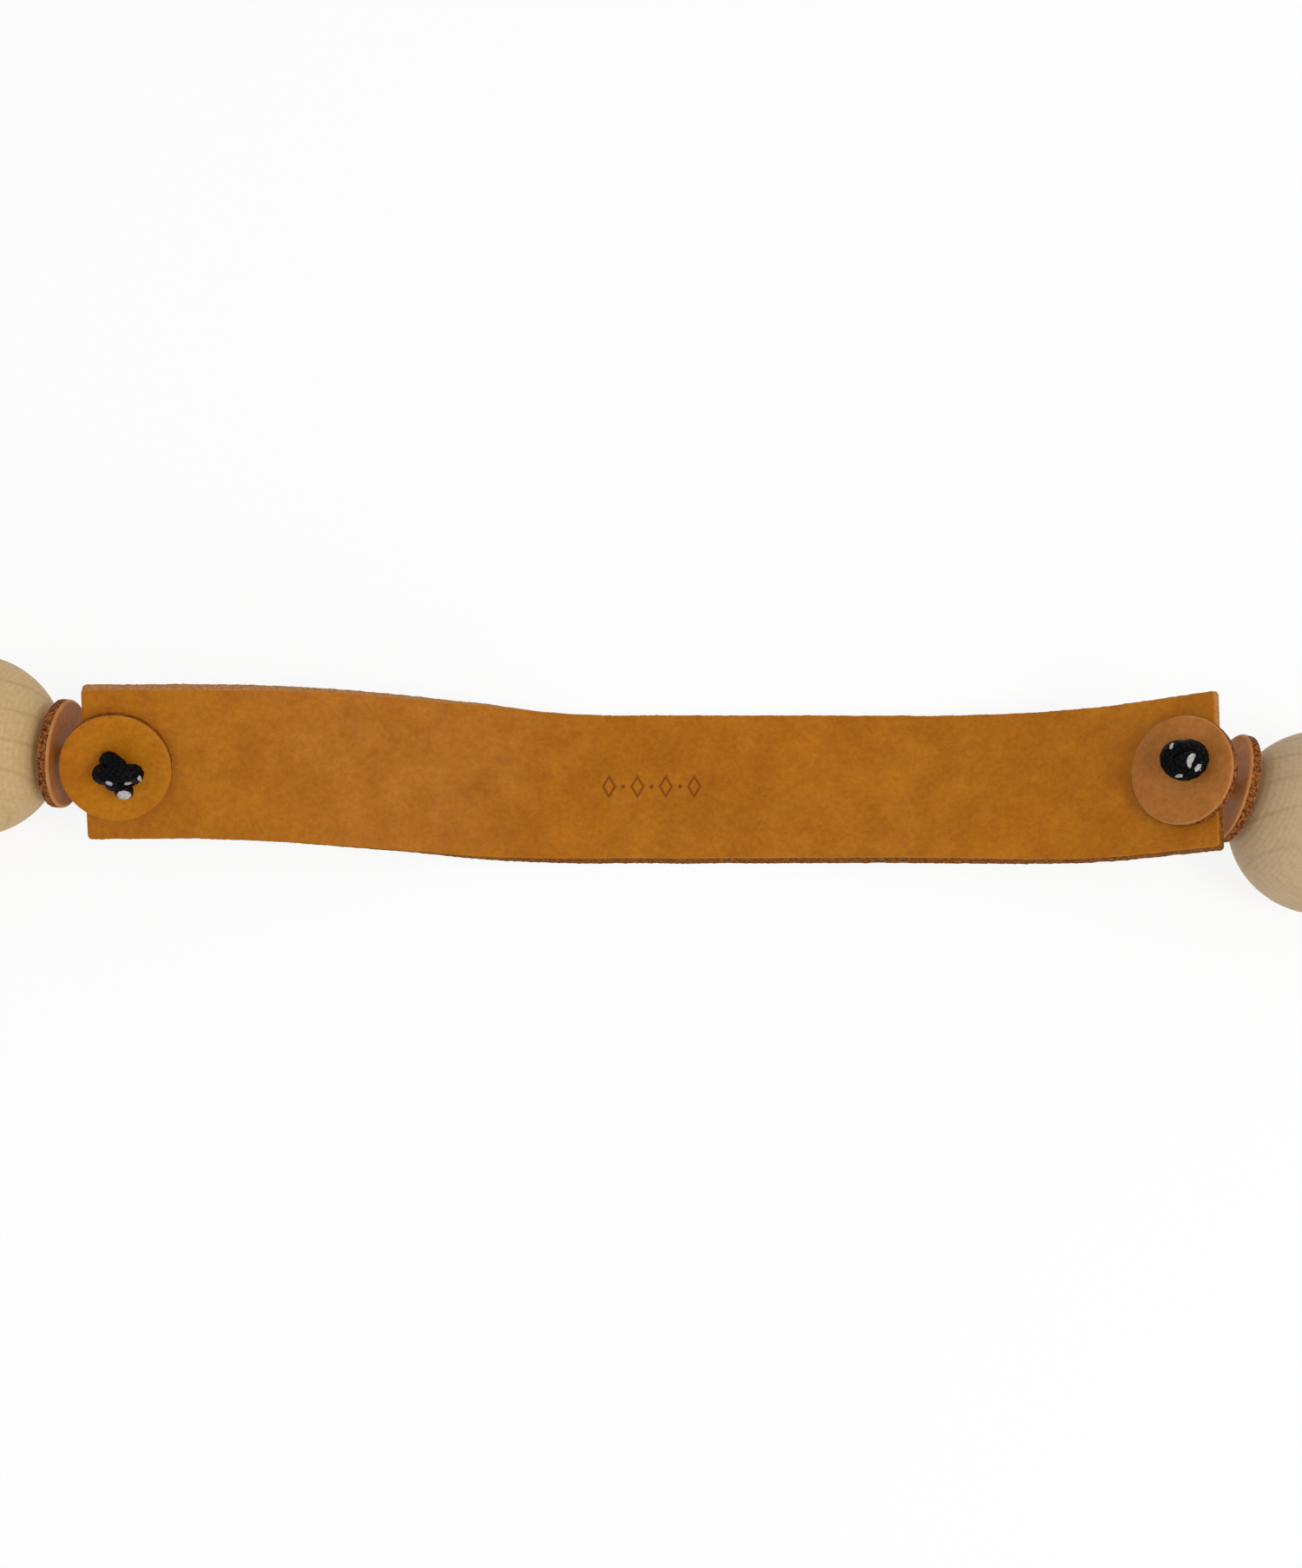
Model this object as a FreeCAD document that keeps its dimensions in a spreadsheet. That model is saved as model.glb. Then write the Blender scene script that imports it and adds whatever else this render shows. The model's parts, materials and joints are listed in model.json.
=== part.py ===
import FreeCAD, Part
import math
import os
import Sketcher
from FreeCAD import Placement, Rotation, Vector

# A leather shoulder strap with a wooden ball corded to each end.
#
# The strap lies on a table: its middle is flat on the table and both ends
# rise. At each end a black cord is knotted above a leather disc, goes down
# through the disc and the strap, turns outward, goes through a second disc
# and a drilled wooden ball, and is knotted again behind the ball.
#
# Frame: millimetres, +X to the right-hand ball, +Y across the strap, +Z up.
# The origin is the centre of the strap's flat underside, on the table.

doc = FreeCAD.newDocument("ball_strap")
sheet = doc.addObject("Spreadsheet::Sheet", "sizes")

SIZES = [
    ("strap_length", 318.0, "length of the strap along its curve"),
    ("strap_width", 43.0, "width of the strap"),
    ("strap_thick", 3.4, "thickness of the strap leather"),
    ("flat_length", 28.0, "length of the middle that lies flat on the table"),
    ("tab_margin", 0.5, "flat leather past the front disc, towards the middle"),
    ("corner_radius", 2.0, "radius of the strap's corners"),
    ("hole_inset", 8.5, "cord hole to the end of the strap"),
    ("disc_diameter", 30.0, "outside diameter of the leather discs"),
    ("disc_thick", 3.2, "thickness of the leather discs"),
    ("disc_bevel", 0.5, "bevel round the grain side of the discs"),
    ("hole_gap", 0.3, "radial gap between the cord and a leather hole"),
    ("cord_diameter", 4.0, "diameter of the braided cord"),
    ("seat_gap", 0.1, "strap to front disc, and front disc to knot"),
    ("stem_drop", 0.5, "cord stem showing under the strap"),
    ("bend_gap", 0.3, "gap between the stem and the round end of the cord run"),
    ("ball_diameter", 50.0, "diameter of the wooden balls"),
    ("strap_gap", 0.4, "strap's end to the back disc"),
    ("bore_gap", 0.5, "radial gap between the cord and the ball's bore"),
    ("mouth_bevel", 1.5, "width of the countersink at the bore's mouths"),
    ("knot_length", 13.0, "longest side of a knot"),
    ("knot_width", 11.0, "shortest side of a knot"),
    ("knot_height", 8.0, "height of a knot"),
    ("tail_length", 6.8, "middle of a knot to the cut end of its tail"),
    ("left_rise_near", 33.0, "slope of the left wing near the middle, degrees"),
    ("left_rise_far", 19.0, "slope of the left wing near its end, degrees"),
    ("left_rise_end", 5.5, "slope of the left tab, degrees"),
    ("left_roll_mid", -23.0, "roll of the left wing half way, degrees"),
    ("left_roll_end", -35.0, "roll of the left tab, degrees"),
    ("left_yaw", -2.0, "turn of the left tab seen from above, degrees"),
    ("left_aim", 7.0, "direction of the left ball seen from above, degrees"),
    ("left_disc_gap", 1.2, "front disc's rim to the back disc, left end"),
    ("right_rise_near", 3.0, "slope of the right wing near the middle, degrees"),
    ("right_rise_far", 6.0, "slope of the right wing near its end, degrees"),
    ("right_rise_end", 38.0, "slope of the right tab, degrees"),
    ("right_roll_mid", 2.0, "roll of the right wing half way, degrees"),
    ("right_roll_end", -7.0, "roll of the right tab, degrees"),
    ("right_yaw", -5.0, "turn of the right tab seen from above, degrees"),
    ("right_aim", -18.0, "direction of the right ball seen from above, degrees"),
    ("right_disc_gap", 3.4, "front disc's rim to the back disc, right end"),
]


def write_size(alias, value, note):
    """Put one named number on the next free row of the sheet."""
    row = write_size.row
    sheet.set(f"A{row}", note)
    sheet.set(f"B{row}", str(value))
    sheet.setAlias(f"B{row}", alias)
    write_size.row += 1


write_size.row = 1
for alias, value, note in SIZES:
    write_size(alias, value, note)
doc.recompute()


def size(alias):
    return float(getattr(sheet, alias))


# ---- how the strap lies -------------------------------------------------

LOFT_STATIONS = 9
STEPS_PER_WING = 200
TIP_SAMPLES = 40
SIDES = {"left": -1, "right": 1}


def tab_length():
    """The flat tab at each end is long enough for the front disc."""
    return size("hole_inset") + size("disc_diameter") / 2 + size("tab_margin")


def ease(share):
    share = min(max(share, 0.0), 1.0)
    return share * share * (3 - 2 * share)


def tilt_at(side, run):
    """Slope, roll and yaw, in radians, at a run from the strap's middle."""
    flat = size("flat_length") / 2
    ramp = size("strap_length") / 2 - tab_length() - flat
    share = min(max((run - flat) / ramp, 0.0), 1.0)
    rest = 1 - share
    near, far, end = [size(f"{side}_rise_{place}") for place in ("near", "far", "end")]
    slope = 3 * near * share * rest ** 2 + 3 * far * share ** 2 * rest + end * share ** 3
    roll_mid, roll_end = size(f"{side}_roll_mid"), size(f"{side}_roll_end")
    roll = roll_mid * ease(2 * share) + (roll_end - roll_mid) * ease(2 * share - 1)
    yaw = size(f"{side}_yaw") * ease(share)
    return [math.radians(angle) for angle in (slope, roll, yaw)]


def axes_at(side, run):
    """Outward, across and grain-side directions of the strap's section."""
    slope, roll, yaw = tilt_at(side, run)
    sign = SIDES[side]
    outward = Vector(
        sign * math.cos(slope) * math.cos(yaw),
        math.cos(slope) * math.sin(yaw),
        math.sin(slope),
    )
    level = Vector(0, 0, 1).cross(outward * sign).normalize()
    square = (outward * sign).cross(level)
    across = level * math.cos(roll) - square * math.sin(roll)
    grain = square * math.cos(roll) + level * math.sin(roll)
    return outward, across, grain


def centre_at(side, run):
    """Centre of the strap's section at a run from its middle."""
    flat = size("flat_length") / 2
    tab_start = size("strap_length") / 2 - tab_length()
    curved = min(run, tab_start) - flat
    point = Vector(SIDES[side] * flat, 0, size("strap_thick") / 2)
    step = curved / STEPS_PER_WING
    for index in range(STEPS_PER_WING):
        point += axes_at(side, flat + (index + 0.5) * step)[0] * step
    return point + axes_at(side, run)[0] * max(run - tab_start, 0)


def facing(origin, x_axis, z_axis):
    """A placement with the given local X and Z directions."""
    return Placement(origin, Rotation(x_axis, z_axis.cross(x_axis), z_axis, "ZXY"))


class StrapEnd:
    """The places at one end of the strap that its pieces are built on."""

    def __init__(self, side):
        self.side = side
        half = size("strap_length") / 2
        self.outward, self.across, self.grain = axes_at(side, half)
        end = centre_at(side, half) + self.grain * (size("strap_thick") / 2)
        self.hole = end - self.outward * size("hole_inset")
        cord_radius = size("cord_diameter") / 2
        self.drop = size("strap_thick") + size("stem_drop") + size("bend_gap") + cord_radius
        self.pivot = self.hole - self.grain * self.drop
        self.aim = self.resting_aim()
        self.reach = self.reach_along(self.aim)
        self.hinge = self.grain.cross(self.aim).normalize()

    def reach_along(self, aim):
        """Pivot to back disc, so that it clears the front disc and the strap."""
        rim = size("disc_diameter") / 2 + size(f"{self.side}_disc_gap")
        sine = -aim.dot(self.grain)
        past_disc = rim * math.sqrt(1 - sine ** 2) - self.drop * sine
        return max(past_disc, self.tip_depth(aim) + size("strap_gap"))

    def tip_depth(self, aim):
        """How far along the cord the strap's end stands in the back disc's way."""
        tip = self.hole + self.outward * size("hole_inset") - self.pivot
        near_axis = size("disc_diameter") / 2 + size("strap_gap")
        depths = [0.0]
        for index in range(-TIP_SAMPLES, TIP_SAMPLES + 1):
            side_step = self.across * (size("strap_width") / 2 * index / TIP_SAMPLES)
            for height in (0, -size("strap_thick")):
                point = tip + side_step + self.grain * height
                depth = point.dot(aim)
                if (point - aim * depth).Length < near_axis:
                    depths.append(depth)
        return max(depths)

    def ball_distance(self, aim):
        return self.reach_along(aim) + size("disc_thick") + size("ball_diameter") / 2

    def resting_aim(self):
        """The cord's direction that lets the ball lie on the table."""
        plan = math.radians(size(f"{self.side}_aim"))
        low, high = math.radians(-60), math.radians(60)
        for _ in range(60):
            dip = (low + high) / 2
            aim = Vector(
                SIDES[self.side] * math.cos(dip) * math.cos(plan),
                math.cos(dip) * math.sin(plan),
                -math.sin(dip),
            )
            height = self.pivot.z + aim.z * self.ball_distance(aim)
            if height > size("ball_diameter") / 2:
                low = dip
            else:
                high = dip
        return aim

    def on_strap(self, height):
        """Local X outward, local Z away from the grain side."""
        return facing(self.hole + self.grain * height, self.outward, self.grain)

    def on_cord(self, distance, turned=False):
        """Local Z along the cord, or back towards the strap when turned."""
        z_axis = self.aim * -1 if turned else self.aim
        return facing(self.pivot + self.aim * distance, self.hinge, z_axis)


ends = {side: StrapEnd(side) for side in SIDES}
for side, end in ends.items():
    write_size(f"{side}_reach", end.reach, "pivot to back disc, worked out from the gap")
doc.recompute()


# ---- sketch and body helpers --------------------------------------------

def new_body(label):
    body = doc.addObject("PartDesign::Body", label)
    body.Label = label
    return body


def new_sketch(body, name, role="XY_Plane", offset=Placement()):
    sketch = body.newObject("Sketcher::SketchObject", name)
    plane = [item for item in body.Origin.OriginFeatures if item.Role == role][0]
    sketch.AttachmentSupport = [(plane, "")]
    sketch.MapMode = "FlatFace"
    sketch.AttachmentOffset = offset
    return sketch


def bind(sketch, name, expression, constraint):
    """Add a dimension and tie it to the sheet."""
    index = sketch.addConstraint(constraint)
    sketch.renameConstraint(index, name)
    sketch.setExpression(f"Constraints.{name}", expression)


def add_polygon(sketch, corners):
    """Closed run of straight lines through the corners, joined end to end."""
    count = len(corners)
    points = [Vector(x, y, 0) for x, y in corners]
    for index in range(count):
        line = Part.LineSegment(points[index], points[(index + 1) % count])
        sketch.addGeometry(line, False)
    for index in range(count):
        sketch.addConstraint(
            Sketcher.Constraint("Coincident", index, 2, (index + 1) % count, 1)
        )


def add_rectangle(sketch, width, height):
    """Rectangle centred on the sketch's origin, sized by two expressions."""
    half_width, half_height = 5, 1
    add_polygon(sketch, [
        (-half_width, -half_height),
        (half_width, -half_height),
        (half_width, half_height),
        (-half_width, half_height),
    ])
    for line in (0, 2):
        sketch.addConstraint(Sketcher.Constraint("Horizontal", line))
    for line in (1, 3):
        sketch.addConstraint(Sketcher.Constraint("Vertical", line))
    sketch.addConstraint(Sketcher.Constraint("Symmetric", 0, 1, 2, 1, -1, 1))
    bind(sketch, "width", width, Sketcher.Constraint("DistanceX", 0, 1, 0, 2, 10))
    bind(sketch, "height", height, Sketcher.Constraint("DistanceY", 1, 1, 1, 2, 2))


def add_circle(sketch, name, diameter):
    """Circle centred on the sketch's origin."""
    index = sketch.addGeometry(Part.Circle(Vector(), Vector(0, 0, 1), 3), False)
    sketch.addConstraint(Sketcher.Constraint("Coincident", index, 3, -1, 1))
    bind(sketch, name, diameter, Sketcher.Constraint("Diameter", index, 6))


def pad(body, name, sketch, length):
    feature = body.newObject("PartDesign::Pad", name)
    feature.Profile = sketch
    feature.setExpression("Length", length)
    sketch.Visibility = False
    return feature


CORD_HOLE = "sizes.cord_diameter + 2 * sizes.hole_gap"


# ---- the strap ----------------------------------------------------------

def add_tab(body, side):
    """Flat end of the strap with rounded corners and the cord hole."""
    end = ends[side]
    thick = size("strap_thick")
    sketch = new_sketch(body, f"{side}_tab_outline", offset=end.on_strap(-thick))
    inner, outer, half, radius = -15, 8, 20, 2
    bottom, lower_arc, tip, upper_arc, top, root = range(6)
    sketch.addGeometry([
        Part.LineSegment(Vector(inner, -half, 0), Vector(outer - radius, -half, 0)),
        Part.ArcOfCircle(
            Part.Circle(Vector(outer - radius, radius - half, 0), Vector(0, 0, 1), radius),
            -math.pi / 2, 0),
        Part.LineSegment(Vector(outer, radius - half, 0), Vector(outer, half - radius, 0)),
        Part.ArcOfCircle(
            Part.Circle(Vector(outer - radius, half - radius, 0), Vector(0, 0, 1), radius),
            0, math.pi / 2),
        Part.LineSegment(Vector(outer - radius, half, 0), Vector(inner, half, 0)),
        Part.LineSegment(Vector(inner, half, 0), Vector(inner, -half, 0)),
    ], False)
    for first, second in ((bottom, lower_arc), (lower_arc, tip), (tip, upper_arc), (upper_arc, top)):
        sketch.addConstraint(Sketcher.Constraint("Tangent", first, 2, second, 1))
    sketch.addConstraint(Sketcher.Constraint("Coincident", top, 2, root, 1))
    sketch.addConstraint(Sketcher.Constraint("Coincident", root, 2, bottom, 1))
    sketch.addConstraint(Sketcher.Constraint("Horizontal", bottom))
    sketch.addConstraint(Sketcher.Constraint("Vertical", tip))
    sketch.addConstraint(Sketcher.Constraint("Horizontal", top))
    sketch.addConstraint(Sketcher.Constraint("Equal", lower_arc, upper_arc))
    sketch.addConstraint(Sketcher.Constraint("Symmetric", root, 1, root, 2, -1))
    bind(sketch, "corner", "sizes.corner_radius",
         Sketcher.Constraint("Radius", lower_arc, radius))
    bind(sketch, "width", "sizes.strap_width",
         Sketcher.Constraint("DistanceY", root, 2, root, 1, 2 * half))
    bind(sketch, "inset", "sizes.hole_inset",
         Sketcher.Constraint("DistanceX", -1, 1, tip, 1, outer))
    bind(sketch, "length", "sizes.hole_inset + sizes.disc_diameter / 2 + sizes.tab_margin",
         Sketcher.Constraint("DistanceX", root, 2, tip, 1, outer - inner))
    add_circle(sketch, "hole", CORD_HOLE)
    pad(body, f"{side}_tab", sketch, "sizes.strap_thick")


def add_wing(body, side):
    """Curved stretch from the flat middle to the tab, lofted through sections."""
    flat = size("flat_length") / 2
    tab_start = size("strap_length") / 2 - tab_length()
    sections = []
    for index in range(LOFT_STATIONS):
        run = flat + (tab_start - flat) * index / (LOFT_STATIONS - 1)
        outward, across, grain = axes_at(side, run)
        place = facing(centre_at(side, run), across, outward * SIDES[side])
        section = new_sketch(body, f"{side}_section_{index + 1}", offset=place)
        add_rectangle(section, "sizes.strap_width", "sizes.strap_thick")
        section.Visibility = False
        sections.append(section)
    loft = body.newObject("PartDesign::AdditiveLoft", f"{side}_wing")
    loft.Profile = sections[0]
    loft.Sections = sections[1:]
    loft.Ruled = False


def make_strap():
    body = new_body("strap")
    outline = new_sketch(body, "middle_outline")
    add_rectangle(outline, "sizes.flat_length", "sizes.strap_width")
    pad(body, "middle", outline, "sizes.strap_thick")
    for side in SIDES:
        add_wing(body, side)
        add_tab(body, side)
    return body


# ---- the pieces at each end ---------------------------------------------

def make_disc(label, place):
    """Punched leather disc, grain side up, its top edge bevelled."""
    body = new_body(label)
    outline = new_sketch(body, f"{label}_outline")
    add_circle(outline, "rim", "sizes.disc_diameter")
    add_circle(outline, "hole", CORD_HOLE)
    slab = pad(body, f"{label}_slab", outline, "sizes.disc_thick")
    doc.recompute()
    rim_radius, top = size("disc_diameter") / 2, size("disc_thick")
    top_rim = [
        f"Edge{number}"
        for number, edge in enumerate(slab.Shape.Edges, start=1)
        if isinstance(edge.Curve, Part.Circle)
        and abs(edge.Curve.Radius - rim_radius) < 1e-6
        and abs(edge.Curve.Center.z - top) < 1e-6
    ]
    bevel = body.newObject("PartDesign::Chamfer", f"{label}_bevel")
    bevel.Base = (slab, top_rim)
    bevel.setExpression("Size", "sizes.disc_bevel")
    body.Placement = place
    return body


def make_ball(label, place):
    """Turned wooden ball with a countersunk bore, its axis on local Z."""
    body = new_body(label)
    profile = new_sketch(body, f"{label}_profile", role="XZ_Plane")
    radius, bore, mouth, depth = 25, 3, 4, 24
    bottom, wall, top, skin = range(4)
    profile.addGeometry([
        Part.LineSegment(Vector(mouth, -depth, 0), Vector(bore, -depth + 1, 0)),
        Part.LineSegment(Vector(bore, -depth + 1, 0), Vector(bore, depth - 1, 0)),
        Part.LineSegment(Vector(bore, depth - 1, 0), Vector(mouth, depth, 0)),
        Part.ArcOfCircle(
            Part.Circle(Vector(), Vector(0, 0, 1), radius),
            -math.acos(mouth / radius), math.acos(mouth / radius)),
    ], False)
    profile.addConstraint(Sketcher.Constraint("Coincident", bottom, 2, wall, 1))
    profile.addConstraint(Sketcher.Constraint("Coincident", wall, 2, top, 1))
    profile.addConstraint(Sketcher.Constraint("Coincident", top, 2, skin, 2))
    profile.addConstraint(Sketcher.Constraint("Coincident", bottom, 1, skin, 1))
    profile.addConstraint(Sketcher.Constraint("Coincident", skin, 3, -1, 1))
    profile.addConstraint(Sketcher.Constraint("Symmetric", wall, 1, wall, 2, -1))
    bind(profile, "radius", "sizes.ball_diameter / 2",
         Sketcher.Constraint("Radius", skin, radius))
    bind(profile, "bore", "sizes.cord_diameter / 2 + sizes.bore_gap",
         Sketcher.Constraint("DistanceX", -1, 1, wall, 1, bore))
    for name, line in (("low_mouth", bottom), ("high_mouth", top)):
        first, last = (2, 1) if line == bottom else (1, 2)
        bind(profile, f"{name}_width", "sizes.mouth_bevel",
             Sketcher.Constraint("DistanceX", line, first, line, last, mouth - bore))
    profile.addConstraint(Sketcher.Constraint("Angle", top, 1, math.pi / 4))
    turned = body.newObject("PartDesign::Revolution", f"{label}_turned")
    turned.Profile = profile
    turned.ReferenceAxis = (profile, ["V_Axis"])
    turned.Angle = 360
    profile.Visibility = False
    body.Placement = place
    return body


def make_stem(label, place):
    """Straight cord through the front disc and the strap, from local Z = 0 down."""
    body = new_body(label)
    circle = new_sketch(body, f"{label}_circle")
    add_circle(circle, "cord", "sizes.cord_diameter")
    stem = pad(body, f"{label}_rod", circle,
               "sizes.disc_thick + 2 * sizes.seat_gap + sizes.strap_thick + sizes.stem_drop")
    stem.Reversed = True
    body.Placement = place
    return body


def make_run(label, place, reach):
    """Cord from the bend, through the back disc and the ball, to the end knot."""
    body = new_body(label)
    circle = new_sketch(body, f"{label}_circle")
    add_circle(circle, "cord", "sizes.cord_diameter")
    pad(body, f"{label}_rod", circle, f"{reach} + sizes.disc_thick + sizes.ball_diameter")
    nose = body.newObject("PartDesign::AdditiveSphere", f"{label}_nose")
    nose.setExpression("Radius", "sizes.cord_diameter / 2")
    body.Placement = place
    return body


KNOT_WAIST = 30.0


def make_knot(label, place, tail_turn):
    """Overhand knot drawn tight: a flat-bottomed lump with its cut tail."""
    body = new_body(label)
    waist = math.sin(math.radians(KNOT_WAIST))
    lump = body.newObject("PartDesign::AdditiveEllipsoid", f"{label}_lump")
    lump.setExpression("Radius1", f"sizes.knot_height / {1 + waist}")
    lump.setExpression("Radius2", "sizes.knot_length / 2")
    lump.setExpression("Radius3", "sizes.knot_width / 2")
    lump.Angle1 = -KNOT_WAIST
    centre = Vector(0, 0, size("knot_height") * waist / (1 + waist))
    lump.Placement = Placement(centre, Rotation())
    tail = body.newObject("PartDesign::AdditiveCylinder", f"{label}_tail")
    tail.setExpression("Radius", "sizes.cord_diameter / 2")
    tail.setExpression("Height", "sizes.tail_length")
    tail.Placement = Placement(centre, tail_turn)
    body.Placement = place
    return body


TAIL_TURN = {
    "left": Rotation(Vector(0, 0, 1), Vector(-0.25, -0.93, 0.1)),
    "right": Rotation(Vector(0, 0, 1), Vector(0.2, -0.1, 0.97)),
}
TAIL_BACK = Rotation(Vector(0, 0, 1), Vector(0.4, 0.3, 0.85))

parts = [make_strap()]
for side, end in ends.items():
    disc_thick = size("disc_thick")
    knot_seat = end.on_strap(disc_thick + 2 * size("seat_gap"))
    ball_centre = end.reach + disc_thick + size("ball_diameter") / 2
    parts += [
        make_disc(f"front_disc_{side}", end.on_strap(size("seat_gap"))),
        make_stem(f"cord_stem_{side}", knot_seat),
        make_knot(f"knot_{side}", knot_seat, TAIL_TURN[side]),
        make_run(f"cord_run_{side}", end.on_cord(0), f"sizes.{side}_reach"),
        make_disc(f"back_disc_{side}", end.on_cord(end.reach + disc_thick, turned=True)),
        make_ball(f"ball_{side}", end.on_cord(ball_centre)),
        make_knot(f"end_knot_{side}", end.on_cord(ball_centre + size("ball_diameter") / 2),
                  TAIL_BACK),
    ]
doc.recompute()

# ---- checks and export --------------------------------------------------

for item in doc.Objects:
    faults = {"Invalid", "Error"} & set(item.State)
    if faults:
        raise RuntimeError(f"{item.Label}: {sorted(faults)}")
for part in parts:
    if part.Shape.isNull() or not part.Shape.isValid() or len(part.Shape.Solids) != 1:
        raise RuntimeError(f"{part.Label}: its shape is null, invalid or not one solid")

os.makedirs("parts", exist_ok=True)
for part in parts:
    part.Shape.exportStep(os.path.join("parts", f"{part.Label}.step"))
    box = part.Shape.BoundBox
    print(f"{part.Label:18s} volume {part.Shape.Volume:10.1f}  "
          f"x {box.XMin:8.2f} {box.XMax:8.2f}  y {box.YMin:8.2f} {box.YMax:8.2f}  "
          f"z {box.ZMin:8.2f} {box.ZMax:8.2f}")


def spell(vector):
    return " ".join(f"{value:.5f}" for value in vector)


for side, end in ends.items():
    bend = math.degrees(math.asin(-end.aim.dot(end.grain)))
    print(f"joint {side} hole {spell(end.hole)} grain {spell(end.grain)} "
          f"pivot {spell(end.pivot)} hinge {spell(end.hinge)} aim {spell(end.aim)} "
          f"reach {end.reach:.3f} bend {bend:.2f} outward {spell(end.outward)}")
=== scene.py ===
import json
import math

import bmesh
import bpy
import numpy as np
from mathutils import Matrix, Vector, noise
from mathutils.bvhtree import BVHTree


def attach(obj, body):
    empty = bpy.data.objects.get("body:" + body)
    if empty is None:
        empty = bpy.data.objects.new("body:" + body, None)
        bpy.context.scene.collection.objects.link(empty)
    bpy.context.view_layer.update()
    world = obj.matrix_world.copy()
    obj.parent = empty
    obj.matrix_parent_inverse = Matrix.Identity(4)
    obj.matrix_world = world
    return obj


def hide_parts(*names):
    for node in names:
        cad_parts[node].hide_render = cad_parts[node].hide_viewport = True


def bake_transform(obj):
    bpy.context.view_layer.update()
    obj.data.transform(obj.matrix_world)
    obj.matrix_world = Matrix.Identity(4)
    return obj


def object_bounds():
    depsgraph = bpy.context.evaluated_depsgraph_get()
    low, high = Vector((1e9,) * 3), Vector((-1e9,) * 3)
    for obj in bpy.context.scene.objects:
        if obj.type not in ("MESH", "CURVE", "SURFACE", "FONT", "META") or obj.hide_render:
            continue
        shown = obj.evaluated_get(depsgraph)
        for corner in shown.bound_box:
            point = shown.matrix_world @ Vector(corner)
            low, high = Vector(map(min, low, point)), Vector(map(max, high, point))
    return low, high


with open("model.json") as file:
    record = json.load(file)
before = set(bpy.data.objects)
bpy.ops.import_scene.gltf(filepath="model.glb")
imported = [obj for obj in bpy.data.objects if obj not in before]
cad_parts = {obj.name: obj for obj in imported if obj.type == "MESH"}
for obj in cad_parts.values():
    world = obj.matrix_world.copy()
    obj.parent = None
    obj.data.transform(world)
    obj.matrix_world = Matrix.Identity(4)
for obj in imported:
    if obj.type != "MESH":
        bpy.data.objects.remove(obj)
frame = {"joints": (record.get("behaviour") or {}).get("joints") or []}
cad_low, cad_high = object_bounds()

# A leather shoulder strap with a turned wooden ball corded to each end.


# ---- the table, the light and the camera ---------------------------------
# A matt white table top under one soft panel in an even white room. The
# camera looks down from in front, and sees through most of the table's paint,
# so that the white room shows, and so does a ball that swings below the top.

MM = 0.001    # lengths are in millimetres until a mesh is made, which is in metres


def linear(hex_colour):
    """sRGB hex colour as the linear RGBA that shader sockets take."""
    channels = [int(hex_colour[i:i + 2], 16) / 255 for i in (1, 3, 5)]
    return [c / 12.92 if c <= 0.04045 else ((c + 0.055) / 1.055) ** 2.4 for c in channels] + [1.0]


def add(tree, kind, inputs=None, **settings):
    """Add a node, set its properties, and fill or link its input sockets."""
    made = tree.nodes.new("ShaderNode" + kind)
    for name, value in settings.items():
        setattr(made, name, value)
    for name, value in (inputs or {}).items():
        if isinstance(value, bpy.types.NodeSocket):
            tree.links.new(value, made.inputs[name])
        else:
            made.inputs[name].default_value = value
    return made


def new_material(name):
    """An empty material and its node tree."""
    material = bpy.data.materials.new(name)
    material.use_nodes = True
    material.node_tree.nodes.clear()
    return material, material.node_tree


def mesh_object(name, points_mm, faces, materials, zones=None):
    """Smooth-shaded mesh from points in millimetres, with a material per zone."""
    mesh = bpy.data.meshes.new(name)
    mesh.from_pydata([tuple(p * MM for p in point) for point in points_mm], [], faces)
    for material in materials:
        mesh.materials.append(material)
    if zones is not None:
        mesh.polygons.foreach_set("material_index", zones)
    mesh.polygons.foreach_set("use_smooth", [True] * len(mesh.polygons))
    mesh.update()
    made = bpy.data.objects.new(name, mesh)
    bpy.context.collection.objects.link(made)
    return made


def shows_backdrop(tree):
    """1 for the rays that see the plain white backdrop: camera, mirror and glass rays."""
    rays = add(tree, "LightPath").outputs
    seen = add(tree, "Math", {0: rays["Is Camera Ray"], 1: rays["Is Glossy Ray"]}, operation="ADD")
    return add(tree, "Math", {0: seen.outputs[0], 1: rays["Is Transmission Ray"]},
               operation="ADD", use_clamp=True).outputs[0]


def point_values(piece, name, values):
    """A value per point of a piece, which its material reads by name."""
    piece.data.attributes.new(name, "FLOAT", "POINT").data.foreach_set("value", values)


white = linear("#FFFFFF")
room_strength, backdrop_strength = 0.75, 1.0
see_through = 0.86

world = bpy.data.worlds.new("studio_room")
bpy.context.scene.world = world
world.use_nodes = True
world.node_tree.nodes.clear()
room = add(world.node_tree, "Background", {"Color": white, "Strength": room_strength})
backdrop = add(world.node_tree, "Background", {"Color": white, "Strength": backdrop_strength})
mixed = add(world.node_tree, "MixShader",
            {0: shows_backdrop(world.node_tree), 1: room.outputs[0], 2: backdrop.outputs[0]})
add(world.node_tree, "OutputWorld", {"Surface": mixed.outputs[0]})

table_white, tree = new_material("matt_white_table")
share = add(tree, "Math", {0: shows_backdrop(tree), 1: see_through}, operation="MULTIPLY")
paint = add(tree, "BsdfDiffuse", {"Color": linear("#F4F4F3")})
through = add(tree, "BsdfTransparent", {"Color": white})
mixed = add(tree, "MixShader", {0: share.outputs[0], 1: paint.outputs[0], 2: through.outputs[0]})
add(tree, "OutputMaterial", {"Surface": mixed.outputs[0]})

table_half, table_gap = 2500.0, 0.05
table_top = cad_low.z / MM - table_gap
table = mesh_object(
    "table",
    [(-table_half, -table_half, table_top), (table_half, -table_half, table_top),
     (table_half, table_half, table_top), (-table_half, table_half, table_top)],
    [(0, 1, 2, 3)], [table_white])

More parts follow.
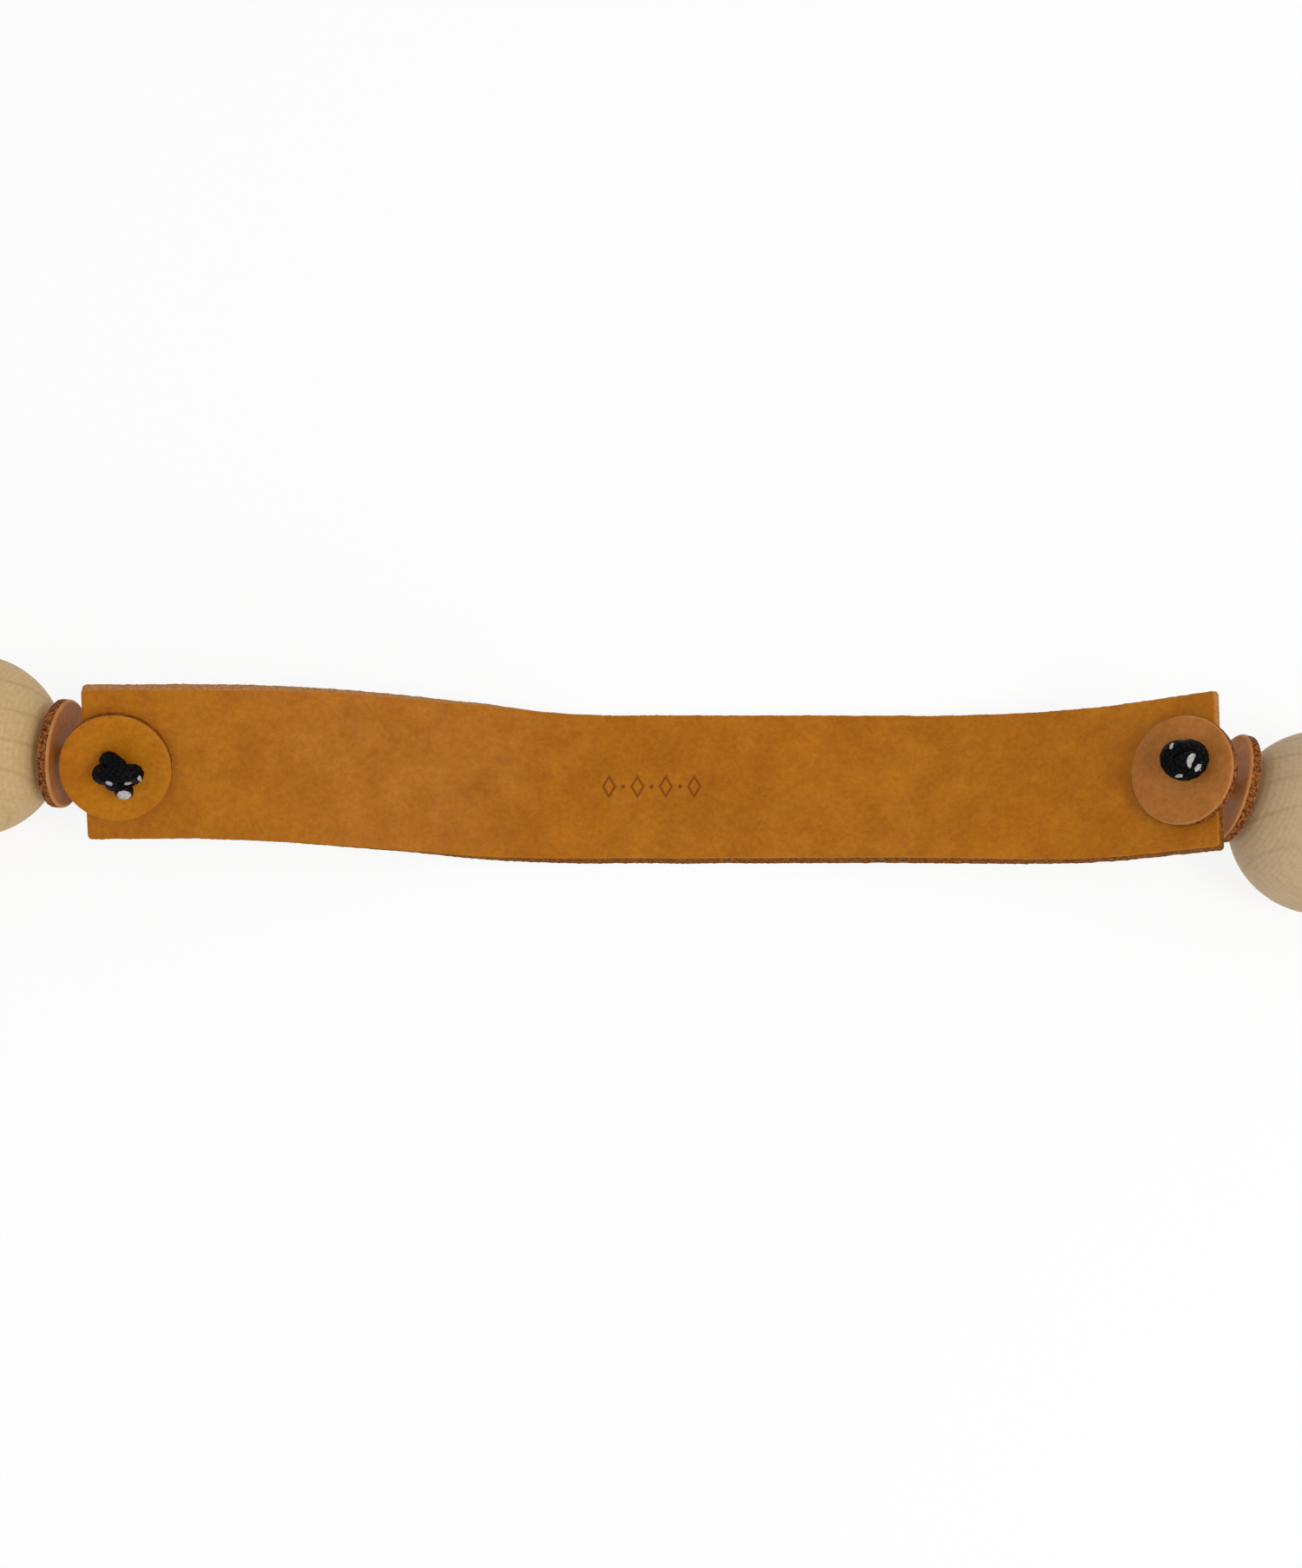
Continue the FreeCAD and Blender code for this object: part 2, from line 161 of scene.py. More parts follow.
panel = bpy.data.lights.new("overhead_panel", "AREA")
panel.shape = "RECTANGLE"
panel.size, panel.size_y = 0.34, 0.5
panel.energy = 4.4
panel_object = bpy.data.objects.new("overhead_panel", panel)
bpy.context.collection.objects.link(panel_object)
panel_object.location = (0.56, -0.42, 0.93)
panel_object.rotation_euler = (-panel_object.location).to_track_quat("-Z", "Y").to_euler()

camera_height = math.radians(73)
camera_distance = 0.68
looks_at = Vector((-0.0021, 0.0017, 0.0))
camera = bpy.data.cameras.new("camera")
camera.sensor_fit = "VERTICAL"
camera.sensor_height = 36.0
camera.lens = 55.1
camera_object = bpy.data.objects.new("camera", camera)
bpy.context.collection.objects.link(camera_object)
camera_object.location = looks_at + camera_distance * Vector(
    (0, -math.cos(camera_height), math.sin(camera_height)))
camera_object.rotation_euler = (math.pi / 2 - camera_height, 0, 0)
bpy.context.scene.camera = camera_object
bpy.context.scene.view_settings.view_transform = "Standard"


# ---- the strap -----------------------------------------------------------
# One length of vegetable-tanned saddle leather, cut with a knife and left
# undyed at the cut, with a small blind-stamped row of lozenges and dots. It
# keeps the bend it was hung in: flat in the middle and rising to both ends.

SIDES = {"left": -1, "right": 1}
strap_length, strap_width, strap_thick = 318.0, 43.0, 3.4
strap_half = strap_length / 2
flat_half = 14.0      # lies flat this far from the middle
tab_length = 24.0     # and is straight again at each end
corner_radius = 1.3
hole_inset, hole_radius = 8.5, 2.3
# How each side lies, in degrees: its slope near the middle, further out and at
# the tab, its roll halfway and at the tab, and its turn about the upright.
LIE = {
    -1: {"rise": (33.0, 19.0, 5.5), "roll": (-23.0, -35.0), "yaw": -2.0},
    1: {"rise": (3.0, 6.0, 38.0), "roll": (2.0, -7.0), "yaw": -5.0},
}


def ease(share):
    """Smooth step: 0 up to a share of 0, 1 from a share of 1."""
    share = np.clip(share, 0, 1)
    return share * share * (3 - 2 * share)


def strap_axes(side, run):
    """Outward, across and grain-side directions at runs from the middle."""
    share = np.clip((run - flat_half) / (strap_half - tab_length - flat_half), 0, 1)
    rest = 1 - share
    near, far, end = LIE[side]["rise"]
    slope = np.radians(3 * near * share * rest ** 2 + 3 * far * share ** 2 * rest
                       + end * share ** 3)
    roll_mid, roll_end = LIE[side]["roll"]
    roll = np.radians(roll_mid * ease(2 * share) + (roll_end - roll_mid) * ease(2 * share - 1))
    yaw = np.radians(LIE[side]["yaw"] * ease(share))
    outward = np.stack([side * np.cos(slope) * np.cos(yaw), np.cos(slope) * np.sin(yaw),
                        np.sin(slope)], 1)
    level = np.cross([0, 0, 1], outward * side)
    level /= np.linalg.norm(level, axis=1)[:, None]
    square = np.cross(outward * side, level)
    across = level * np.cos(roll)[:, None] - square * np.sin(roll)[:, None]
    grain = square * np.cos(roll)[:, None] + level * np.sin(roll)[:, None]
    return outward, across, grain


def on_strap(flat):
    """Bend flat points (run, across, height over the grain face) to the strap's lie."""
    flat = np.asarray(flat, float)
    bent = np.zeros_like(flat)
    walk_step = 0.05
    fine = np.linspace(0, strap_half, round(strap_half / walk_step) + 1)
    for side in (-1, 1):
        outward, _, _ = strap_axes(side, (fine[1:] + fine[:-1]) / 2)
        walked = np.vstack([[0, 0, 0], np.cumsum(outward * (fine[1] - fine[0]), axis=0)])
        walked += [0, 0, strap_thick / 2]
        here = flat[:, 0] * side >= 0
        run = flat[here, 0] * side
        _, across, grain = strap_axes(side, run)
        centre = np.stack([np.interp(run, fine, walked[:, k]) for k in range(3)], 1)
        bent[here] = centre + across * flat[here, 1:2] + grain * (flat[here, 2:3] + strap_thick / 2)
    return bent


def ripple(x, y, z, size):
    """Smooth noise, about -1 to 1, with features of the given size."""
    return noise.noise(Vector((x / size, y / size, z / size)))


# The stamp: lozenge outlines and dots in turn, pressed into the grain face.
stamp_centre, stamp_pitch, stamp_count = -2.0, 4.0, 7
stamp_reach, stamp_tall = stamp_pitch * stamp_count / 2, 4.0
stamp_depth, stamp_line, stamp_wall = 0.34, 0.5, 0.3
dot_radius, lozenge_size, lozenge_lean = 0.55, 1.45, (0.86, 0.5)


def stamp(run, across):
    """Depth pressed into the grain face at a place on the strap."""
    first = stamp_centre - stamp_pitch * (stamp_count - 1) / 2
    index = min(max(round((run - first) / stamp_pitch), 0), stamp_count - 1)
    off = run - first - index * stamp_pitch
    if index % 2:
        edge = math.hypot(off, across) - dot_radius
    else:
        edge = abs(abs(off) * lozenge_lean[0] + abs(across) * lozenge_lean[1] - lozenge_size)
        edge -= stamp_line / 2
    return stamp_depth * float(ease(0.5 - edge / stamp_wall))


def leather_grain(name, tone, deep, blush):
    """Vegetable-tanned grain face: warm tan, clouded, finely pored, half gloss.

    A pattern's scale is 1000 over its size in millimetres. Real pores are a
    quarter of a millimetre apart and are drawn four times as coarse, to show.
    """
    material, tree = new_material(name)
    place = add(tree, "TexCoord").outputs["Object"]
    cloud = add(tree, "TexNoise", {"Vector": place, "Scale": 1000 / 48, "Detail": 2.0,
                                   "Roughness": 0.5}).outputs[0]
    stain = add(tree, "TexNoise", {"Vector": place, "Scale": 1000 / 9, "Detail": 5.0,
                                   "Roughness": 0.62}).outputs[0]
    pores = add(tree, "TexVoronoi", {"Vector": place, "Scale": 1000 / 1.1,
                                     "Randomness": 1.0}).outputs["Distance"]
    speck = add(tree, "TexNoise", {"Vector": place, "Scale": 1000 / 1.6, "Detail": 5.0,
                                   "Roughness": 0.7}).outputs[0]
    slant = add(tree, "Mapping", {"Vector": place, "Rotation": (0, 0, math.radians(38)),
                                  "Scale": (1000 / 9, 1000 / 1.3, 1000 / 5)}).outputs[0]
    crease = add(tree, "TexNoise", {"Vector": slant, "Scale": 1.0, "Detail": 3.0,
                                    "Roughness": 0.6, "Distortion": 0.6}).outputs[0]
    broad = add(tree, "MapRange", {"Value": cloud, "From Min": 0.35, "From Max": 0.65}).outputs[0]
    patch = add(tree, "MapRange", {"Value": stain, "From Min": 0.3, "From Max": 0.75,
                                   "To Max": 0.9}).outputs[0]
    colour = add(tree, "Mix", {0: broad, 6: linear(tone), 7: linear(blush)}, data_type="RGBA").outputs[2]
    colour = add(tree, "Mix", {0: patch, 6: colour, 7: linear(deep)}, data_type="RGBA").outputs[2]
    grit = add(tree, "MapRange", {"Value": speck, "From Min": 0.3, "From Max": 0.7,
                                  "To Min": 0.84, "To Max": 1.13}).outputs[0]
    colour = add(tree, "VectorMath", {0: colour, 3: grit}, operation="SCALE").outputs[0]
    # Painted shade: the pores are darkened, standing in for the shade inside them.
    pore_shade = add(tree, "MapRange", {"Value": pores, "From Min": 0.05, "From Max": 0.3,
                                  "To Min": 0.86, "To Max": 1.0}).outputs[0]
    colour = add(tree, "VectorMath", {0: colour, 3: pore_shade}, operation="SCALE").outputs[0]
    pressed = add(tree, "Attribute", attribute_name="pressed").outputs["Fac"]
    colour = add(tree, "Mix", {0: pressed, 6: colour, 7: linear("#7A3E06")}, data_type="RGBA").outputs[2]
    rim = add(tree, "Attribute", attribute_name="rim").outputs["Fac"]
    colour = add(tree, "Mix", {0: rim, 6: colour, 7: linear("#B87F4C")}, data_type="RGBA").outputs[2]
    gloss = add(tree, "MapRange", {"Value": stain, "From Min": 0.3, "From Max": 0.7,
                                   "To Min": 0.42, "To Max": 0.56}).outputs[0]
    height = add(tree, "Math", {0: pores, 1: 0.35}, operation="MULTIPLY").outputs[0]
    height = add(tree, "Math", {0: speck, 1: height}, operation="ADD").outputs[0]
    fine = add(tree, "Bump", {"Height": height, "Strength": 0.6, "Distance": 0.0002}).outputs[0]
    normal = add(tree, "Bump", {"Height": crease, "Normal": fine, "Strength": 0.45,
                                "Distance": 0.0004}).outputs[0]
    skin = add(tree, "BsdfPrincipled", {
        "Base Color": colour, "Roughness": gloss, "Normal": normal, "IOR": 1.5,
        "Specular IOR Level": 0.13})
    add(tree, "OutputMaterial", {"Surface": skin.outputs[0]})
    return material


def leather_cut(name, near, far, bundle):
    """Cut edge: dark fibre bundles with paler frayed tips, a bundle in millimetres.

    near and far give the deep and the pale tone of the edge towards the table's
    front and of the one behind: the front edge is darkened as painted shade, and
    the one behind is lightened as a painted highlight.
    """
    material, tree = new_material(name)
    place = add(tree, "TexCoord").outputs["Object"]
    fibre = add(tree, "TexNoise", {"Vector": place, "Scale": 1000 / bundle, "Detail": 6.0,
                                   "Roughness": 0.75}).outputs[0]
    tuft = add(tree, "TexVoronoi", {"Vector": place, "Scale": 1000 / 0.6}).outputs["Distance"]
    share = add(tree, "MapRange", {"Value": fibre, "From Min": 0.42, "From Max": 0.66}).outputs[0]
    # Painted light: the edge towards the front takes the darker tones as painted shade, the edge behind the
    # paler ones as a painted highlight.
    back = add(tree, "SeparateXYZ", {"Vector": place}).outputs["Y"]
    back = add(tree, "MapRange", {"Value": back, "From Min": -0.004, "From Max": 0.004}).outputs[0]
    deep = add(tree, "Mix", {0: back, 6: linear(near[0]), 7: linear(far[0])}, data_type="RGBA").outputs[2]
    pale = add(tree, "Mix", {0: back, 6: linear(near[1]), 7: linear(far[1])}, data_type="RGBA").outputs[2]
    colour = add(tree, "Mix", {0: share, 6: deep, 7: pale}, data_type="RGBA").outputs[2]
    height = add(tree, "Math", {0: fibre, 1: tuft}, operation="ADD").outputs[0]
    normal = add(tree, "Bump", {"Height": height, "Strength": 0.8, "Distance": 0.0004}).outputs[0]
    skin = add(tree, "BsdfPrincipled", {
        "Base Color": colour, "Roughness": 0.9, "Normal": normal, "IOR": 1.5,
        "Specular IOR Level": 0.2})
    add(tree, "OutputMaterial", {"Surface": skin.outputs[0]})
    return material


def leather_flesh(name):
    """Flesh side: pale brown suede nap, matt, with a soft fibre streak."""
    material, tree = new_material(name)
    place = add(tree, "TexCoord").outputs["Object"]
    nap = add(tree, "TexNoise", {"Vector": place, "Scale": 1000 / 1.1, "Detail": 6.0,
                                 "Roughness": 0.7}).outputs[0]
    cloud = add(tree, "TexNoise", {"Vector": place, "Scale": 1000 / 25, "Detail": 3.0}).outputs[0]
    share = add(tree, "MapRange", {"Value": nap, "From Min": 0.3, "From Max": 0.7}).outputs[0]
    colour = add(tree, "Mix", {0: share, 6: linear("#94642F"), 7: linear("#C39A63")},
                 data_type="RGBA").outputs[2]
    colour = add(tree, "Mix", {0: cloud, 6: colour, 7: linear("#A9743D")}, data_type="RGBA").outputs[2]
    normal = add(tree, "Bump", {"Height": nap, "Strength": 0.6, "Distance": 0.0003}).outputs[0]
    skin = add(tree, "BsdfPrincipled", {
        "Base Color": colour, "Roughness": 0.95, "Normal": normal, "IOR": 1.5,
        "Specular IOR Level": 0.15, "Sheen Weight": 0.25, "Sheen Roughness": 0.5})
    add(tree, "OutputMaterial", {"Surface": skin.outputs[0]})
    return material


strap_grain = leather_grain("saddle_leather_grain", "#AE6808", "#9A5602", "#B26E12")
# The front edge's tones are painted shade, the paler tones behind are a painted highlight.
strap_edge = leather_cut("saddle_leather_cut_edge_painted_light", ("#5C3004", "#A86818"), ("#A66E3C", "#D09656"), 0.9)
leather_back = leather_flesh("saddle_leather_flesh_side")
GRAIN, CUT, FLESH = 0, 1, 2    # the materials' places on a leather piece


def spaced(low, high, step):
    """Evenly spaced values from low up to, but not including, high."""
    count = max(1, math.ceil((high - low) / step - 1e-9))
    return [low + (high - low) * i / count for i in range(count)]


def strap_stations():
    """Runs along the strap: fine at the tips and the stamp, coarser between."""
    tip, tip_end = [0, 0.05, 0.14, 0.28, 0.46, 0.7, 1.0, 1.45, 2.0], strap_half - 2.5
    stamp_low, stamp_high = stamp_centre - stamp_reach, stamp_centre + stamp_reach
    coarse, fine = 0.5, 0.2
    runs = [-strap_half + d for d in tip] + spaced(-tip_end, stamp_low, coarse)
    runs += spaced(stamp_low, stamp_high, fine) + spaced(stamp_high, tip_end, coarse) + [tip_end]
    return runs + [strap_half - d for d in reversed(tip)]


def rounding(radius, gap):
    """How far a rounded edge has fallen away at a gap from the very end."""
    return radius - math.sqrt(radius ** 2 - max(radius - gap, 0) ** 2)


def make_strap():
    """Skin of the strap: grain face, rounded cut edges, flesh face and tips.

    Each station along the strap is a ring of points: the grain face, one side,
    the flesh face and the other side, as (across, height, rim, zone).
    """
    edge_top, edge_low = 0.5, 0.35    # rounding of the grain and of the flesh edge
    cut_in, cut_out = 0.3, 0.2        # the knife slants, so the flesh face is wider
    span = strap_width / 2 - cut_in - edge_top
    fine, coarse, middle = 0.2, 0.9, 3.6
    half_row = spaced(0, middle, fine) + spaced(middle, span - coarse, coarse)
    half_row += [span - coarse, span - 0.3, span]
    row = [-v for v in reversed(half_row[1:])] + half_row
    count = len(row)
    runs = strap_stations()
    arc = [math.radians(angle) for angle in (22, 45, 68)]
    wall_steps = 9
    flat, rims, pressings, ring_size = [], [], [], 0
    for run in runs:
        tip_gap = strap_half - abs(run)
        half = strap_width / 2 - rounding(corner_radius, tip_gap)
        top, bottom = -rounding(edge_top, tip_gap), rounding(edge_low, tip_gap) - strap_thick
        squeeze = (half - cut_in - edge_top) / span
        ring = [(v * squeeze, top, 0.0, GRAIN) for v in row]
        side = [(half - cut_in - edge_top * (1 - math.sin(a)), top - edge_top * (1 - math.cos(a)),
                 1.0, GRAIN if a < arc[-1] else CUT) for a in arc]
        side += [(half + v, w, 0.0, CUT) for v, w in zip(
            np.linspace(-cut_in, cut_out, wall_steps),
            np.linspace(top - edge_top, bottom + edge_low, wall_steps))]
        side += [(half + cut_out - edge_low * (1 - math.cos(a)),
                  bottom + edge_low * (1 - math.sin(a)), 0.0, CUT) for a in arc]
        ring += side + [(v * squeeze, bottom, 0.0, FLESH) for v in reversed(row)]
        ring += [(-v, w, rim, zone) for v, w, rim, zone in reversed(side)]
        ring_size = len(ring)
        for v, w, rim, zone in ring:
            wander = 0.16 * ripple(run, 40 if v > 0 else 0, 0, 14)
            fray = 0.0
            if abs(v) > half - edge_top * 0.8 and w < -0.3:
                fray = 0.16 * ripple(run, w * 2, v, 0.8) + 0.12 * ripple(run, w, v, 2.2)
            swell = 0.12 * ripple(run, v, 0, 17) * (zone == GRAIN) * float(ease((half - abs(v)) / 5))
            stamped = zone == GRAIN and abs(v) < stamp_tall and abs(run - stamp_centre) < stamp_reach
            press = stamp(run, v) if stamped else 0.0
            outer = math.copysign(1, v) * (wander * abs(v) / half + fray)
            flat.append((run, v + outer, w + swell - press))
            pressings.append(0.85 * press / stamp_depth)
            # The pale rim comes in noise patches: strongest behind at the left and in front at the right.
            worn = 0.5 + 0.5 * ripple(run, v, 7, 5)
            right_part = float(ease((run + 60) / 90))
            rims.append(rim * worn * (0.45 * right_part if v < 0 else 0.6 - 0.5 * right_part))
    faces, zones = [], []
    zone_of = [item[3] for item in ring]
    hole_run = strap_half - hole_inset
    low_row = [count + len(side) + i for i in range(count)]
    low_match = low_row[::-1]    # the flesh face's point below each point of the grain face's row

    def pierced(station, i):
        """Whether the face at a station, right of row place i, is in a cord hole."""
        mid_run = (runs[station] + runs[station + 1]) / 2
        return math.hypot(abs(mid_run) - hole_run, (row[i] + row[i + 1]) / 2) < hole_radius

    # The skin between stations, left open at the cord holes on both faces.
    open_faces = set()
    for station in range(len(runs) - 1):
        here, there = station * ring_size, (station + 1) * ring_size
        for i in range(ring_size):
            j = (i + 1) % ring_size
            if i < count - 1 and pierced(station, i):
                open_faces.add((station, i))
                continue
            if low_row[0] <= i < low_row[-1] and pierced(station, count - 2 - (i - low_row[0])):
                continue
            faces.append((here + i, there + i, there + j, here + j))
            zones.append(max(zone_of[i], zone_of[j]))
    # The holes' walls, and their rims drawn onto true circles.
    rim_places = set()
    for station, i in sorted(open_faces):
        here, ahead = (station, i), (station + 1, i)
        beside, corner = (station, i + 1), (station + 1, i + 1)
        for first, second, neighbour in ((here, beside, (station - 1, i)), (beside, corner, beside),
                                         (corner, ahead, ahead), (ahead, here, (station, i - 1))):
            if neighbour in open_faces:
                continue
            rim_places.update((first, second))
            top_a, top_b = (p * ring_size + k for p, k in (first, second))
            low_a, low_b = (p * ring_size + low_match[k] for p, k in (first, second))
            faces.append((top_a, top_b, low_b, low_a))
            zones.append(CUT)
    for station, i in rim_places:
        hole = math.copysign(hole_run, runs[station])
        pull = hole_radius / math.hypot(runs[station] - hole, row[i])
        for index in (station * ring_size + i, station * ring_size + low_match[i]):
            flat[index] = (hole + (runs[station] - hole) * pull, row[i] * pull, flat[index][2])
    # The two cut tips: columns of points from the grain face down to the flesh face.
    side_count = len(side)
    for station, facing in ((0, -1), (len(runs) - 1, 1)):
        base = station * ring_size
        right = [base + count - 1] + [base + count + k for k in range(side_count)] + [base + low_row[0]]
        left = [base] + [base + ring_size - 1 - k for k in range(side_count)] + [base + low_row[-1]]
        columns = [left]
        for i in range(1, count - 1):
            column = [base + i]
            for k in range(1, side_count + 1):
                w = flat[right[k]][2]
                fray = 0.1 * ripple(row[i], w * 2, facing * 9, 0.7) + 0.08 * ripple(row[i], w, facing, 3)
                flat.append((facing * (strap_half + fray), flat[base + i][1], w))
                rims.append((0.8 if facing > 0 else 0.25) * (k < 3))
                pressings.append(0.0)
                column.append(len(flat) - 1)
            columns.append(column + [base + low_match[i]])
        columns.append(right)
        for one, other in zip(columns, columns[1:]):
            for k in range(side_count + 1):
                loop = (one[k], other[k], other[k + 1], one[k + 1])
                faces.append(loop if facing < 0 else loop[::-1])
                zones.append(GRAIN if k < 2 else CUT)
    kept = sorted({index for face in faces for index in face})
    order = {index: position for position, index in enumerate(kept)}
    bent = on_strap([flat[index] for index in kept])
    strap = mesh_object("strap_leather", bent, [tuple(order[i] for i in face) for face in faces],
                        [strap_grain, strap_edge, leather_back], zones)
    point_values(strap, "rim", [rims[index] for index in kept])
    point_values(strap, "pressed", [pressings[index] for index in kept])
    return strap


strap = make_strap()
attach(strap, "strap")
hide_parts("strap")


# ---- the leather discs ---------------------------------------------------
# Four washers punched from thick hide: one under each front knot and one
# between the strap and each ball. The punch leaves a rough fibrous wall, the
# grain edge is pared to a pale bevel, and the knot dishes the front ones.

disc_radius, disc_thick, disc_hole = 15.0, 3.2, 2.3
joint_of = {joint["name"]: joint for joint in frame["joints"]}


def joint_point(name):
    """A joint's place, in millimetres."""
    return Vector(joint_of[name]["pos_m"]) / MM


def joint_axis(name):
    """A joint's direction."""
    return Vector(joint_of[name]["axis"]).normalized()


def local_frame(origin_mm, z_axis, x_hint):
    """Object matrix with its Z along z_axis and its X near x_hint."""
    z_axis = z_axis.normalized()
    y_axis = z_axis.cross(x_hint).normalized()
    x_axis = y_axis.cross(z_axis)
    turned = Matrix((x_axis, y_axis, z_axis)).transposed().to_4x4()
    turned.translation = origin_mm * MM
    return turned


def lathe_faces(rows, segments):
    """Faces of a closed profile of so many rows, turned once round."""
    faces = []
    for row in range(rows):
        other = (row + 1) % rows
        for k in range(segments):
            m = (k + 1) % segments
            faces.append((row * segments + k, other * segments + k, other * segments + m,
                          row * segments + m))
    return faces


def disc_profile(pare):
    """Half section of a disc as (radius, height, rim, zone), the grain face first."""
    hole_wall = [(disc_hole, w, 0, CUT) for w in (0.2 - disc_thick, -1.8, -1.0)]
    hole_lip = [(disc_hole, -0.5, 0, GRAIN), (disc_hole + 0.12, -0.16, 0, GRAIN),
                (disc_hole + 0.4, 0, 0, GRAIN)]
    grain_face = [(r, 0, 0, GRAIN) for r in spaced(disc_hole + 0.9, disc_radius - 1.3, 0.55)]
    # The pared bevel: shares of its width in and down, and how pale it is there.
    bevel = [(disc_radius - across * pare, down, rim, GRAIN) for across, down, rim in (
        (0.95, 0, 0), (0.8, -0.02, 0.7), (0.5, -0.17 * pare, 1), (0.25, -0.42 * pare, 1),
        (0.08, -0.75 * pare, 0.9))]
    wall = [(disc_radius - 0.04, -0.95 * pare, 0.4, CUT)]
    wall += [(disc_radius, w, 0, CUT) for w in np.linspace(-1.15, 0.25 - disc_thick, 9)]
    wall += [(disc_radius - 0.1, 0.08 - disc_thick, 0, CUT)]
    flesh_face = [(r, -disc_thick, 0, FLESH) for r in [disc_radius - 0.35] + spaced(
        disc_hole + 0.9, disc_radius - 0.9, 0.8)[::-1] + [disc_hole + 0.2]]
    return hole_lip + grain_face + bevel + wall + flesh_face + hole_wall


def make_disc(name, placing, dish, pare, seed, skin):
    """Punched disc with its grain face at local height 0 and a pared bevel so wide."""
    segments, dish_radius = 288, 5.5
    profile = disc_profile(pare)
    points, rims = [], []
    for radius, height, rim, zone in profile:
        wall = zone == CUT and radius > disc_radius - 0.3
        for k in range(segments):
            angle = 2 * math.pi * k / segments
            x, y = math.cos(angle), math.sin(angle)
            reach = radius
            if radius > disc_radius - 1:
                reach -= 0.13 * (1 + ripple(x * 15, y * 15, seed, 9)) / 2
            if wall:
                reach -= 0.15 * (1 + ripple(x * 15, y * 15, height * 2.2 + seed, 0.75))
                reach += 0.05 * ripple(x * 15, y * 15, height + seed, 0.4)
            if rim > 0.3 and zone == GRAIN:
                reach -= 0.05 * (1 + ripple(x * 15, y * 15, seed + 3, 1.1))
            w = height
            if height > -1.0 and radius > disc_hole:
                w -= dish * math.exp(-(radius / dish_radius) ** 2)
                w -= 0.10 * (1 + ripple(x * radius, y * radius, seed + 5, 11)) / 2 \
                    * min(radius / disc_radius, 1)
            points.append((x * reach, y * reach, w))
            rims.append(rim * (2 * pare - 1) ** 0.5 * (0.8 + 0.3 * ripple(x * 15, y * 15, seed, 4)))
    row_zones = [max(one[3], other[3]) for one, other in zip(profile, profile[1:])] + [CUT]
    disc = mesh_object(name, points, lathe_faces(len(profile), segments),
                       [skin, disc_edge, leather_back], np.repeat(row_zones, segments).tolist())
    point_values(disc, "rim", rims)
    disc.data.transform(placing)
    return disc


disc_edge = leather_cut("punched_leather_raw_edge", ("#401402", "#C07230"), ("#401402", "#C07230"), 0.85)
disc_grain = {
    "front_disc_left": leather_grain("disc_leather_amber", "#B46A02", "#A05A00", "#B87408"),
    "front_disc_right": leather_grain("disc_leather_rose", "#AC6A2C", "#985A20", "#B27436"),
    "back_disc_left": leather_grain("disc_leather_tawny", "#A45A00", "#904C00", "#A86004"),
    # Painted light: this disc's tones are brightened to stand in for light bounced into the shade it lies
    # in.
    "back_disc_right": leather_grain("disc_leather_russet_painted_bounce", "#C0782A", "#AC681E", "#C88232"),
}
front_pare, back_pare = {"left": 0.51, "right": 0.62}, 1.0
front_dish, back_dish = 0.22, 0.05
front_gap = 0.1
back_lean = {"left": 0.0, "right": math.radians(6.5)}    # the right one hangs askew on its cord
for seed, side in enumerate(SIDES):
    grain = joint_axis(f"front_disc_{side}_spin")
    seat = joint_point(f"front_disc_{side}_spin") + grain * (disc_thick + front_gap)
    front = make_disc(f"disc_front_{side}", local_frame(seat, grain, Vector((1, 0, 0))), front_dish,
                      front_pare[side], seed * 31 + 3, disc_grain[f"front_disc_{side}"])
    faces_strap = Matrix.Rotation(back_lean[side], 3, "Z") @ -joint_axis(f"back_disc_{side}_spin")
    back = make_disc(f"disc_back_{side}", local_frame(joint_point(f"back_disc_{side}_spin"), faces_strap,
                                                      Vector((0, 1, 0))),
                     back_dish, back_pare, seed * 31 + 17, disc_grain[f"back_disc_{side}"])
    for piece, node in ((front, f"front_disc_{side}"), (back, f"back_disc_{side}")):
        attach(piece, node)
        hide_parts(node)


# ---- the wooden balls ----------------------------------------------------
# Turned beech, 50 mm, drilled right through for the cord. The grain runs
# along the bore, the lathe leaves faint rings round it, and both mouths are
# chamfered. Sanded and left without varnish.

ball_radius, bore_radius, mouth = 25.0, 2.5, 1.5


